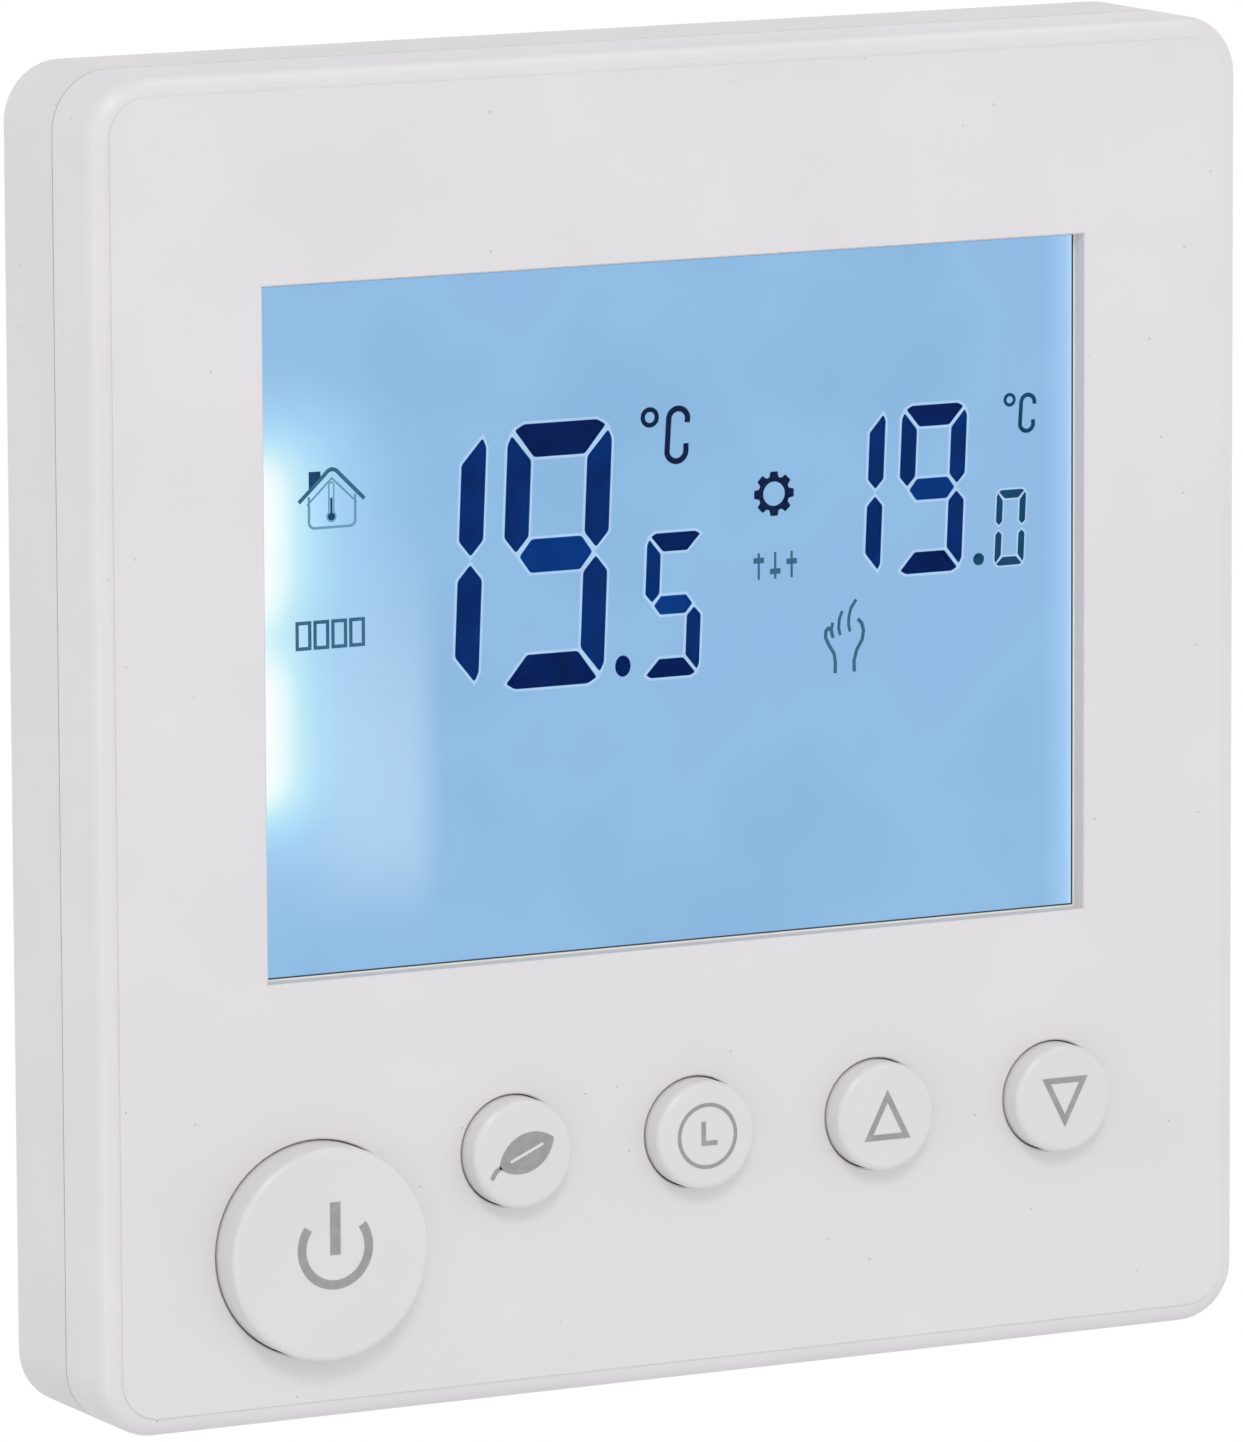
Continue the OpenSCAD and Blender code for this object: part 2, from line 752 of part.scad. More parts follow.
// Bobbin: base on the board and the two cheeks round the middle leg
module transformer_bobbin() {
    color("dimgray") translate([-11, y_parts, 15]) {
        plate_block(17, 13, 0, 1.5);
        for (y = [4.4, 12.9]) difference() {
            plate_block(6.6, 12, y, y + 1);
            plate_block(5.3, 5.3, y - 1, y + 2);
        }
    }
}

module transformer_winding() {
    color("gold") translate([-11, y_parts, 15]) difference() {
        plate_block(6.4, 11, 5.5, 12.8);
        plate_block(5.3, 5.3, 5, 13);
    }
}

module relay() {
    color("deepskyblue") plate_block(12.4, 28, y_parts + 0.1, y_parts + 15.8, 11, 11);
}

module electrolytic_capacitors() {
    color("darkslategray") {
        rod(4, y_parts + 0.1, y_parts + 12, -16.4, -1);
        rod(3.15, y_parts + 0.1, y_parts + 11, -7.6, -1.4);
    }
}

module film_capacitor() {
    color("orange") plate_block(13, 5, y_parts + 0.1, y_parts + 11, -8, -9.5);
}

module varistor() {
    color("mediumblue") translate([1.6, y_parts + 4.6, -2]) rotate([0, 90, 0])
        cylinder(h = 3, r = 4);
}

// Cartridge fuse with two end caps
module fuse() {
    color("ivory") translate([box_x - 3.1, y_parts + 2.2, -6]) {
        cylinder(h = 14, r = 1.6);
        for (z = [0, 11.5]) translate([0, 0, z]) cylinder(h = 2.5, r = 1.85);
    }
}

// Moulded terminal block with one wire channel and one screw hole for each pole
module terminal_block() {
    channel_z = block_low + channel_h / 2 - 0.5;
    color("seagreen") difference() {
        plate_block(block_w, block_h, y_parts, block_out, 0, block_z);
        for (i = [0:poles - 1]) {
            plate_block(channel_w, channel_h + 1, y_cage - 0.2, y_ceiling, pole_x(i), channel_z);
            rod(screw_r + 0.2, y_ceiling - 1, block_out + 1, pole_x(i), screw_z);
            rod(screw_head_r + 0.15, y_screw_head - 0.05, block_out + 1, pole_x(i), screw_z);
            plate_block(1, 0.8, y_parts - 1, y_cage, pole_x(i), block_low + 9.4);
        }
    }
}

// Fixed contact bars and their solder tails
module terminal_contacts() {
    bar_low = block_low + 0.8;
    bar_top = block_low + 9.7;
    color("goldenrod") for (i = [0:poles - 1]) {
        plate_block(bar_w, bar_top - bar_low, y_bar, y_bar + bar_t,
            pole_x(i), (bar_low + bar_top) / 2);
        plate_block(0.9, 0.6, y_power - 1.2, y_bar + overlap, pole_x(i), bar_top - 0.3);
    }
}

// Clamping screw of one terminal
module terminal_screw(i) {
    color("silver") translate([pole_x(i), y_screw_head, screw_z]) rotate([-90, 0, 0])
        difference() {
            union() {
                translate([0, 0, y_bar + bar_t + 0.1 - y_screw_head])
                    cylinder(h = y_screw_head - y_bar - bar_t, r = screw_r);
                cylinder(h = screw_head_h, r = screw_head_r);
            }
            translate([-3, -0.4, screw_head_h - 0.9]) cube([6, 0.8, 2]);
        }
}

// Rising cage of one terminal, tapped for its screw
module terminal_clamp(i) {
    color("goldenrod") difference() {
        plate_block(cage_w, cage_h, y_cage, y_cage_top + cage_top_t, pole_x(i), screw_z);
        plate_block(cage_w - 2 * cage_wall, cage_h + 2, y_cage + cage_base_t, y_cage_top,
            pole_x(i), screw_z);
        rod(screw_r + screw_fit, y_cage_top - 1, y_cage_top + cage_top_t + 1,
            pole_x(i), screw_z);
    }
}

front_cover();
display_window();
power_key();
eco_key();
clock_key();
up_key();
down_key();
power_plunger();
eco_plunger();
clock_plunger();
up_plunger();
down_plunger();
front_polariser();
lcd_front_glass();
lcd_rear_glass();
rear_polariser();
lcd_pins();
diffuser_sheet();
light_guide();
reflector_sheet();
backlight_leds();
display_frame();
display_board();
display_board_screws();
key_switch_bases();
key_switch_metal();
microcontroller();
coin_cell();
cell_holder();
board_socket();
room_sensor();
smd_parts();
rear_frame();
mounting_plate();
power_box();
plate_screws();
power_board();
board_header();
transformer_core();
transformer_bobbin();
transformer_winding();
relay();
electrolytic_capacitors();
film_capacitor();
varistor();
fuse();
terminal_block();
terminal_contacts();
for (i = [0:poles - 1]) {
    terminal_screw(i);
    terminal_clamp(i);
}
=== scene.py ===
"""Looks of the wall thermostat: finishes for every CAD node, the display's bars and
signs, the printing on the keys, the solder on the boards, the floor, light and camera."""

import math

import bmesh
import bpy
from mathutils import Matrix, Vector


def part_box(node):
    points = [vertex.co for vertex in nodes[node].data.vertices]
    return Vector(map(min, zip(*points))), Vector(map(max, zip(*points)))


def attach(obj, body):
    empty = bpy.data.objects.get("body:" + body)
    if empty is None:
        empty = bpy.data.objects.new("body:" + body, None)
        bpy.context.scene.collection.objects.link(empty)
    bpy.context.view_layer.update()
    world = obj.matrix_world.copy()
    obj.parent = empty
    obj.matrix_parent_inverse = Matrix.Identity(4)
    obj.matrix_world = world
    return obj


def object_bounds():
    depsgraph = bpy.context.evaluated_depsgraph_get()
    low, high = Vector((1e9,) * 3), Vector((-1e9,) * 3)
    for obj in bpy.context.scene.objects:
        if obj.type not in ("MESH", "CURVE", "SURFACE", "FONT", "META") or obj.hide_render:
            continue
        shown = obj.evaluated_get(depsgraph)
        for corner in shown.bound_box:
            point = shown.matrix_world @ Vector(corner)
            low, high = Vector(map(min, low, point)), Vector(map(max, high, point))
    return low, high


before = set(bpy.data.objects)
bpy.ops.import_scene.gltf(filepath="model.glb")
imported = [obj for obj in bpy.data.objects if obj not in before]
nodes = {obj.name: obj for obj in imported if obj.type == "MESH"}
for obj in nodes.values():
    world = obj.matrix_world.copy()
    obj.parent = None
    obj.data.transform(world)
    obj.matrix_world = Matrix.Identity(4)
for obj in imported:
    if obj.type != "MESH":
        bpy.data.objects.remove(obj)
cad_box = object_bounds()
MM = 0.001
WINDOW_LAP = 1.7  # how far the clear window reaches behind the cover on each side, in mm
GLOW_REACH = 14  # how far the lamps' glow reaches across the display, in mm


# ---------------------------------------------------------------- finishes

def linear(code):
    """A colour's sRGB hex code as linear red, green, blue and full opacity."""
    parts = [int(code[i:i + 2], 16) / 255 for i in (0, 2, 4)]
    colour = [c / 12.92 if c <= 0.04045 else ((c + 0.055) / 1.055) ** 2.4 for c in parts]
    return colour + [1.0]


def per(mm):
    """The texture scale that gives features of this size in millimetres."""
    return 1 / (mm * MM)


def add(tree, kind, inputs=None, stops=None, **settings):
    """Adds a node. inputs gives each socket a value or another node's output."""
    node = tree.nodes.new(kind)
    for key, value in settings.items():
        setattr(node, key, value)
    for key, value in (inputs or {}).items():
        if isinstance(value, bpy.types.NodeSocket):
            tree.links.new(value, node.inputs[key])
        else:
            node.inputs[key].default_value = value
    for i, (place, code) in enumerate(stops or []):
        spots = node.color_ramp.elements
        spot = spots[i] if i < 2 else spots.new(place)
        spot.position = place
        spot.color = linear(code)
    return node


def blank(name, **values):
    """A new material, its Principled shader with these values, and its Object coordinates."""
    material = bpy.data.materials.new(name)
    material.use_nodes = True
    tree = material.node_tree
    tree.nodes.clear()
    shader = add(tree, "ShaderNodeBsdfPrincipled",
                 {key.replace("_", " "): value for key, value in values.items()})
    add(tree, "ShaderNodeOutputMaterial", {"Surface": shader.outputs[0]})
    place = add(tree, "ShaderNodeTexCoord").outputs["Object"]
    return material, tree, shader, place


def moulded(name, light, dark, roughness, grain, depth, cloud=14, ior=1.5, specks=False,
            recess=None):
    """Moulded plastic: two close tones in soft clouds where the melt flowed, and a fine grain from
    the mould that breaks up the gloss. recess is the lowest and highest corner of an opening whose
    walls get a paler, warmer tone: painted light that stands in for how light falls inside the
    recess."""
    material, tree, shader, place = blank(name, Roughness=roughness, IOR=ior)
    clouds = add(tree, "ShaderNodeTexNoise", {"Vector": place, "Scale": per(cloud), "Detail": 3.0})
    tone = add(tree, "ShaderNodeValToRGB", {"Fac": clouds.outputs["Fac"]},
               stops=[(0.35, light), (0.65, dark)]).outputs["Color"]
    if specks:
        # dust and tiny pits, up to 0.18 mm across and about 10 mm apart
        cells = add(tree, "ShaderNodeTexVoronoi", {"Vector": place, "Scale": per(2.6)})
        spot = add(tree, "ShaderNodeMapRange",
                   {"Value": cells.outputs["Distance"], "From Min": 0.018, "From Max": 0.036,
                    "To Min": 0.6, "To Max": 0.0})
        tone = add(tree, "ShaderNodeMixRGB", {"Fac": spot.outputs["Result"], "Color1": tone,
                                              "Color2": linear("8F8A88")}).outputs["Color"]
    # painted light: the walls of the recess get their own paler, warmer tone for how light falls
    # inside it
    if recess:
        middle, reach = (recess[0] + recess[1]) / 2, (recess[1] - recess[0]) / 2
        off = add(tree, "ShaderNodeVectorMath", {0: place, 1: middle}, operation="SUBTRACT")
        size = add(tree, "ShaderNodeVectorMath", {0: off.outputs[0]}, operation="ABSOLUTE")
        parts = add(tree, "ShaderNodeSeparateXYZ", {"Vector": size.outputs[0]})
        wall = 1.0
        for axis, limit in zip("XYZ", reach):
            near = add(tree, "ShaderNodeMath", {0: parts.outputs[axis], 1: limit + 0.02 * MM},
                       operation="LESS_THAN")
            wall = add(tree, "ShaderNodeMath", {0: near.outputs[0], 1: wall},
                       operation="MULTIPLY").outputs[0]
        tone = add(tree, "ShaderNodeMixRGB", {"Fac": wall, "Color1": tone,
                                              "Color2": linear("F0E8E1")}).outputs["Color"]
    pits = add(tree, "ShaderNodeTexNoise", {"Vector": place, "Scale": per(grain), "Detail": 2.0})
    bump = add(tree, "ShaderNodeBump", {"Height": pits.outputs["Fac"], "Strength": depth,
                                        "Distance": grain * 0.1 * MM})
    gloss = add(tree, "ShaderNodeMapRange", {"Value": clouds.outputs["Fac"],
                                             "To Min": roughness - 0.06,
                                             "To Max": roughness + 0.06})
    tree.links.new(tone, shader.inputs["Base Color"])
    tree.links.new(gloss.outputs["Result"], shader.inputs["Roughness"])
    tree.links.new(bump.outputs["Normal"], shader.inputs["Normal"])
    return material


def metal(name, light, dark, roughness, grain, stretch=(1, 1, 1), depth=0.2):
    """Bare or plated metal: tone and gloss change along the rolling or turning marks."""
    material, tree, shader, place = blank(name, Metallic=1.0, Roughness=roughness)
    marks = add(tree, "ShaderNodeMapping", {"Vector": place, "Scale": stretch})
    grains = add(tree, "ShaderNodeTexNoise", {"Vector": marks.outputs["Vector"],
                                              "Scale": per(grain), "Detail": 4.0})
    tone = add(tree, "ShaderNodeValToRGB", {"Fac": grains.outputs["Fac"]},
               stops=[(0.3, dark), (0.7, light)])
    gloss = add(tree, "ShaderNodeMapRange", {"Value": grains.outputs["Fac"],
                                             "To Min": roughness - 0.08,
                                             "To Max": roughness + 0.1})
    bump = add(tree, "ShaderNodeBump", {"Height": grains.outputs["Fac"], "Strength": depth,
                                        "Distance": grain * 0.1 * MM})
    tree.links.new(tone.outputs["Color"], shader.inputs["Base Color"])
    tree.links.new(gloss.outputs["Result"], shader.inputs["Roughness"])
    tree.links.new(bump.outputs["Normal"], shader.inputs["Normal"])
    return material


def lit(name, light, dark):
    """What the backlit display shows: its own light, in two close tones."""
    material, tree, shader, place = blank(name, Base_Color=linear("000000"), Roughness=0.4,
                                          Emission_Strength=1.0)
    shader.inputs["Specular IOR Level"].default_value = 0.0
    clouds = add(tree, "ShaderNodeTexNoise", {"Vector": place, "Scale": per(1.5), "Detail": 2.0})
    tone = add(tree, "ShaderNodeValToRGB", {"Fac": clouds.outputs["Fac"]},
               stops=[(0.35, light), (0.65, dark)])
    tree.links.new(tone.outputs["Color"], shader.inputs["Emission Color"])
    return material


def backlit_field(window):
    """The display's pale blue field: white glow beside the two lamps at its left edge, a brighter
    line along the right edge, faint clouds in between, and a paler patch in its lower left that is
    a painted reflection."""
    material, tree, shader, place = blank("backlit_display_field", Base_Color=linear("000000"),
                                          Roughness=0.4, Emission_Strength=1.0)
    shader.inputs["Specular IOR Level"].default_value = 0.0
    low, high = window
    parts = add(tree, "ShaderNodeSeparateXYZ", {"Vector": place})
    x, z = parts.outputs["X"], parts.outputs["Z"]
    # distance in height from the stretch that the lamps light: 0 beside them, 1 at GLOW_REACH
    height = add(tree, "ShaderNodeMapRange", {"Value": z, "From Min": low.z, "From Max": high.z})
    off = add(tree, "ShaderNodeValToRGB", {"Fac": height.outputs["Result"]},
              stops=[(0.0, "FFFFFF"), (0.14, "DEDEDE"), (0.225, "8A8A8A"), (0.30, "000000"),
                     (0.40, "000000"), (0.47, "7C7C7C"), (0.51, "7C7C7C"), (0.58, "000000"),
                     (0.71, "000000"), (0.81, "B4B4B4"), (0.90, "FFFFFF")])
    off.color_ramp.interpolation = "B_SPLINE"
    across = add(tree, "ShaderNodeMath", {0: x, 1: low.x}, operation="SUBTRACT")
    wide = add(tree, "ShaderNodeMath", {0: across.outputs[0], 1: 1 / (GLOW_REACH * MM)},
               operation="MULTIPLY")
    far = add(tree, "ShaderNodeCombineXYZ", {"X": wide.outputs[0], "Y": off.outputs["Color"]})
    reach = add(tree, "ShaderNodeVectorMath", {0: far.outputs[0]}, operation="LENGTH")
    glow = add(tree, "ShaderNodeValToRGB", {"Fac": reach.outputs["Value"]},
               stops=[(0.0, "FFFFFF"), (0.11, "FCFFFF"), (0.175, "E8FDFD"), (0.255, "C6EEF9"),
                      (0.36, "B1DFF9"), (0.5, "A4D0F3"), (0.67, "9DC8EC"), (0.82, "97C2E7"),
                      (1.0, "92BDE4")])
    # towards the right edge the guide's end throws light back
    right = add(tree, "ShaderNodeMapRange", {"Value": x, "From Min": high.x - 2.8 * MM,
                                             "From Max": high.x + 0.6 * MM})
    rim = add(tree, "ShaderNodeValToRGB", {"Fac": right.outputs["Result"]},
              stops=[(0.25, "000000"), (0.59, "38424F"), (0.765, "525B61"), (0.88, "717A73"),
                     (1.0, "8A9488")])
    clouds = add(tree, "ShaderNodeTexNoise", {"Vector": place, "Scale": per(16), "Detail": 2.0})
    cast = add(tree, "ShaderNodeValToRGB", {"Fac": clouds.outputs["Fac"]},
               stops=[(0.3, "F4F6F9"), (0.5, "FFFFFF"), (0.7, "FFFBFF")])
    field = add(tree, "ShaderNodeMixRGB", {"Fac": 1.0, "Color1": glow.outputs["Color"],
                                           "Color2": cast.outputs["Color"]}, blend_type="MULTIPLY")
    # painted reflection: a paler patch over the lower left of the field stands in for a soft
    # reflection in the window
    reflection_x = add(tree, "ShaderNodeMapRange", {"Value": x, "From Min": low.x + 14.6 * MM,
                                               "From Max": low.x + 11.4 * MM},
                  interpolation_type="SMOOTHSTEP")
    rise_x = add(tree, "ShaderNodeMapRange", {"Value": x, "From Min": low.x + 2 * MM,
                                              "From Max": low.x + 9 * MM},
                 interpolation_type="SMOOTHSTEP")
    reflection_z = add(tree, "ShaderNodeMapRange", {"Value": z, "From Min": low.z + 32 * MM,
                                               "From Max": low.z + 15 * MM},
                  interpolation_type="SMOOTHSTEP")
    foot_z = add(tree, "ShaderNodeMapRange", {"Value": z, "From Min": low.z + 1 * MM,
                                              "From Max": low.z + 9 * MM, "To Max": 0.42},
                 interpolation_type="SMOOTHSTEP")
    reflection_patch = add(tree, "ShaderNodeMath", {0: reflection_x.outputs[0], 1: reflection_z.outputs[0]},
                operation="MULTIPLY")
    foot = add(tree, "ShaderNodeMath", {0: rise_x.outputs[0], 1: foot_z.outputs[0]},
               operation="MULTIPLY")
    pale = add(tree, "ShaderNodeMath", {0: reflection_patch.outputs[0], 1: foot.outputs[0]},
               operation="MULTIPLY")
    # mixes in the painted reflection's paler tone
    field = add(tree, "ShaderNodeMixRGB", {"Fac": pale.outputs[0], "Color1": field.outputs["Color"],
                                           "Color2": linear("C8E6FA")})
    whole = add(tree, "ShaderNodeMixRGB", {"Fac": 1.0, "Color1": field.outputs["Color"],
                                           "Color2": rim.outputs["Color"]}, blend_type="ADD")
    tree.links.new(whole.outputs["Color"], shader.inputs["Emission Color"])
    return material


def circuit_board(name, mask, track, pitch):
    """Glass-epoxy board under a glossy lacquer: copper tracks lie under it as paler lines
    on a grid, and tinned vias show as small dots."""
    material, tree, shader, place = blank(name, Roughness=0.32, IOR=1.55)
    turned = add(tree, "ShaderNodeMapping", {"Vector": place,
                                             "Rotation": (math.pi / 2, 0, 0)}).outputs["Vector"]
    bricks = add(tree, "ShaderNodeTexBrick",
                 {"Vector": turned, "Color1": linear("000000"), "Color2": linear("000000"),
                  "Mortar": linear("FFFFFF"), "Scale": per(pitch), "Mortar Size": 0.06,
                  "Mortar Smooth": 0.2, "Brick Width": 3.0, "Row Height": 0.5}, offset=0.37)
    runs = add(tree, "ShaderNodeTexNoise", {"Vector": turned, "Scale": per(6), "Detail": 1.0})
    some = add(tree, "ShaderNodeMapRange", {"Value": runs.outputs["Fac"], "From Min": 0.45,
                                            "From Max": 0.5})
    lines = add(tree, "ShaderNodeMath", {0: bricks.outputs["Color"], 1: some.outputs["Result"]},
                operation="MULTIPLY")
    base = add(tree, "ShaderNodeMixRGB", {"Fac": lines.outputs[0], "Color1": linear(mask),
                                          "Color2": linear(track)})
    holes = add(tree, "ShaderNodeTexVoronoi", {"Vector": place, "Scale": per(5)})
    via = add(tree, "ShaderNodeMapRange", {"Value": holes.outputs["Distance"], "From Min": 0.07,
                                           "From Max": 0.085, "To Min": 1.0, "To Max": 0.0})
    face = add(tree, "ShaderNodeMixRGB", {"Fac": via.outputs["Result"],
                                          "Color1": base.outputs["Color"],
                                          "Color2": linear("B9BBB6")})
    bump = add(tree, "ShaderNodeBump", {"Height": lines.outputs[0], "Strength": 0.5,
                                        "Distance": 0.03 * MM})
    tree.links.new(face.outputs["Color"], shader.inputs["Base Color"])
    tree.links.new(bump.outputs["Normal"], shader.inputs["Normal"])
    return material


def wound_tape():
    """Yellow polyester tape round a winding: glossy, with the turns' ridges 0.35 mm apart."""
    material, tree, shader, place = blank("polyester_winding_tape", Roughness=0.25, IOR=1.57)
    turns = add(tree, "ShaderNodeTexWave", {"Vector": place, "Scale": per(0.35) / 20,
                                            "Distortion": 0.6, "Detail": 1.0}, bands_direction="Z")
    tone = add(tree, "ShaderNodeValToRGB", {"Fac": turns.outputs["Fac"]},
               stops=[(0.2, "C9A13A"), (0.8, "DDB855")])
    bump = add(tree, "ShaderNodeBump", {"Height": turns.outputs["Fac"], "Strength": 0.4,
                                        "Distance": 0.05 * MM})
    tree.links.new(tone.outputs["Color"], shader.inputs["Base Color"])
    tree.links.new(bump.outputs["Normal"], shader.inputs["Normal"])
    return material


def clear_plastic(name, tint, roughness, scratch, ior):
    """Clear acrylic: it shows what lies behind it, with hairline scratches in its gloss."""
    material, tree, shader, place = blank(name, Base_Color=linear(tint), Roughness=roughness,
                                          IOR=ior, Transmission_Weight=1.0)
    long_marks = add(tree, "ShaderNodeMapping", {"Vector": place, "Scale": (1.0, 1.0, 12.0),
                                                 "Rotation": (0.0, 0.5, 0.0)})
    lines = add(tree, "ShaderNodeTexNoise", {"Vector": long_marks.outputs["Vector"],
                                             "Scale": per(2.5), "Detail": 3.0})
    bump = add(tree, "ShaderNodeBump", {"Height": lines.outputs["Fac"], "Strength": scratch,
                                        "Distance": 0.002 * MM})
    tree.links.new(bump.outputs["Normal"], shader.inputs["Normal"])
    return material


low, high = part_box("display_window")
half_w = (high.x - low.x) / 2 - WINDOW_LAP * MM
half_h = (high.z - low.z) / 2 - WINDOW_LAP * MM
window_mid = (high.z + low.z) / 2
cover_low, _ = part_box("front_cover")
opening = (Vector((-half_w, cover_low.y + 0.12 * MM, window_mid - half_h)),
           Vector((half_w, low.y, window_mid + half_h)))

# ABS from a fine spark-eroded mould: matt white, a trace cool, with dust specks
# through recess, the walls of the window opening get a painted-light tone of their own
casing = moulded("moulded_abs_casing_white", "E4E1E4", "E1DEE1", 0.36, 0.35, 0.12, specks=True,
                 recess=opening)
# the frame at the back is the same ABS from another mould, a trace greyer
frame_white = moulded("moulded_abs_frame_white", "E2DFE1", "DEDCDD", 0.42, 0.35, 0.12,
                      specks=True)
# the same ABS from a polished mould: a little glossier than the casing
key_white = moulded("polished_abs_key_white", "E1DFE1", "DEDCDE", 0.3, 0.5, 0.06)
# pad-printed grey ink, flat, with the print's fine mottling
key_ink = moulded("pad_printed_grey_ink", "A2A1A2", "989798", 0.5, 0.2, 0.2, cloud=0.6)
# clear acrylic window with an anti-glare coat, so the light picture keeps its deep blues;
# a lower index than bare acrylic's 1.49 is what such a coat does to the gloss
window_clear = clear_plastic("coated_acrylic_window", "FDFEFF", 0.02, 0.15, 1.12)
# acrylic light guide: clear, with a milky dot pattern that reads as a rougher surface
guide_clear = clear_plastic("acrylic_light_guide", "F4FAFF", 0.18, 0.6, 1.49)
# display glass with its etched film: cool grey and very smooth
lcd_glass = moulded("display_glass_etched", "8FA3B3", "87A0B4", 0.08, 2.0, 0.02, cloud=8,
                    ior=1.52)
rear_film = moulded("polariser_film_rear", "6C7E8E", "64788A", 0.14, 1.5, 0.04, cloud=8)
# white polyester sheets behind the display, silky and matt
white_film = moulded("white_polyester_film", "F0F1F0", "E8EAEA", 0.55, 0.15, 0.1)
# white nylon holder, a shade creamier than the casing
holder = moulded("moulded_nylon_holder", "E2E0D8", "DAD8CF", 0.4, 0.4, 0.15)
# PC and ABS power box: off-white and coarser, since nobody sees it in use
box_plastic = moulded("moulded_pc_power_box", "DBD9D3", "D6D4CD", 0.5, 0.6, 0.3)
black_plastic = moulded("glass_filled_black_nylon", "232426", "191A1C", 0.45, 0.3, 0.3, cloud=3)
chip_epoxy = moulded("chip_epoxy_black", "1F2022", "161718", 0.6, 0.15, 0.5, cloud=2)
ceramic_chip = moulded("ceramic_chip_tan", "B59E78", "8E7B5C", 0.4, 0.3, 0.2, cloud=1.2)
lamp_resin = moulded("lamp_resin_yellow", "EFE7B8", "E6D98E", 0.25, 0.4, 0.05, cloud=1.5)
sensor_epoxy = moulded("dipped_epoxy_black", "1B1C20", "101114", 0.18, 0.8, 0.1, cloud=2)
relay_plastic = moulded("relay_cover_blue", "2B5FA8", "255698", 0.35, 0.4, 0.15)
sleeve = moulded("pvc_capacitor_sleeve", "2A2740", "201E33", 0.28, 0.7, 0.1, cloud=4)
film_case = moulded("film_capacitor_case_yellow", "D8B23B", "CCA531", 0.35, 0.35, 0.15)
varistor_coat = moulded("dipped_phenolic_blue", "2F6DB5", "2862A6", 0.3, 0.9, 0.3, cloud=3)
fuse_ceramic = moulded("fuse_ceramic_white", "E6E2D8", "DCD7CB", 0.45, 0.3, 0.1)
terminal_green = moulded("moulded_pa_terminal_green", "2F8A4C", "287E44", 0.42, 0.4, 0.2)
ferrite = moulded("sintered_ferrite_grey", "3A3A3C", "2A2A2C", 0.5, 0.4, 0.5, cloud=2)
tape = wound_tape()
# zinc-plated steel: bright grey with a rolled grain along the sheet
zinc = metal("zinc_plated_steel", "C9CCCE", "A9ADB0", 0.34, 0.5, stretch=(0.12, 1, 1))
tin = metal("tinned_copper_alloy", "D5D6D4", "BFC0BE", 0.28, 0.4)
cell_steel = metal("brushed_cell_steel", "D2D3D3", "B4B6B7", 0.25, 0.25, stretch=(0.08, 1, 1))
brass = metal("nickel_brass_contact", "D9B469", "B98F45", 0.3, 0.5)
gold = metal("gilt_contact_pin", "E3BE62", "C79B3E", 0.24, 0.4)
solder = metal("solder_tin_bright", "D9DBDC", "B7BABD", 0.22, 0.6, depth=0.1)
board_green = circuit_board("lacquered_circuit_board", "17603A", "2F8458", 1.6)
# the display's dark bars, darkest along the top and bottom, bluer where light leaks round
bar_deep = lit("display_bar_navy", "001C5C", "001650")
bar_blue = lit("display_bar_blue", "002B70", "002463")
bar_soft = lit("display_bar_soft_blue", "003684", "00307A")
sign_dark = lit("display_sign_dark", "0C2044", "081A3C")
sign_grey = lit("display_sign_teal_grey", "3C6C8A", "336380")
sign_pale = lit("display_sign_pale_teal", "6C9CBA", "6494B3")
sign_blue = lit("display_sign_blue", "15466B", "0F3D60")
bar_halo = lit("display_bar_halo", "AFD3F4", "A9CDF0")
# painted shadow: the dark line where the display meets the recess wall
painted_edge_shadow = moulded("window_edge_painted_shadow", "2C4450", "24404E", 0.4, 0.4, 0.1, cloud=2)
edge_white = moulded("window_bead_white", "F2F3F3", "ECEDEE", 0.3, 0.4, 0.1, cloud=2)

field = backlit_field(opening)

FINISHES = {
    casing: ["front_cover"],
    frame_white: ["rear_frame"],
    key_white: ["power_key", "eco_key", "clock_key", "up_key", "down_key"],
    window_clear: ["display_window"],
    field: ["front_polariser"],
    lcd_glass: ["lcd_front_glass", "lcd_rear_glass"],
    rear_film: ["rear_polariser"],
    white_film: ["diffuser_sheet", "reflector_sheet"],
    guide_clear: ["light_guide"],
    lamp_resin: ["backlight_leds"],
    holder: ["display_frame"],
    board_green: ["display_board", "power_board"],
    zinc: ["mounting_plate", "plate_screws", "display_board_screws"]
    + ["terminal_screw_%d" % i for i in range(1, 7)],
    black_plastic: ["key_switch_bases", "cell_holder", "board_socket", "transformer_bobbin",
                    "power_plunger", "eco_plunger", "clock_plunger", "up_plunger", "down_plunger"],
    tin: ["key_switch_metal", "lcd_pins"],
    chip_epoxy: ["microcontroller"],
    cell_steel: ["coin_cell"],
    gold: ["board_header"],
    sensor_epoxy: ["room_sensor"],
    ceramic_chip: ["smd_parts"],
    box_plastic: ["power_box"],
    ferrite: ["transformer_core"],
    tape: ["transformer_winding"],
    relay_plastic: ["relay"],
    sleeve: ["electrolytic_capacitors"],
    film_case: ["film_capacitor"],
    varistor_coat: ["varistor"],
    fuse_ceramic: ["fuse"],
    terminal_green: ["terminal_block"],
    brass: ["terminal_contacts"] + ["terminal_clamp_%d" % i for i in range(1, 7)],
}
for finish, names in FINISHES.items():
    for name in names:
        nodes[name].data.materials.clear()
        nodes[name].data.materials.append(finish)


# ---------------------------------------------------------------- shapes

def piece(name, bm, finish, body):
    """Turns a bmesh into an object with its finish that rides on a body."""
    mesh = bpy.data.meshes.new(name)
    bm.to_mesh(mesh)
    bm.free()
    mesh.materials.append(finish)
    obj = bpy.data.objects.new(name, mesh)
    bpy.context.scene.collection.objects.link(obj)
    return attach(obj, body)


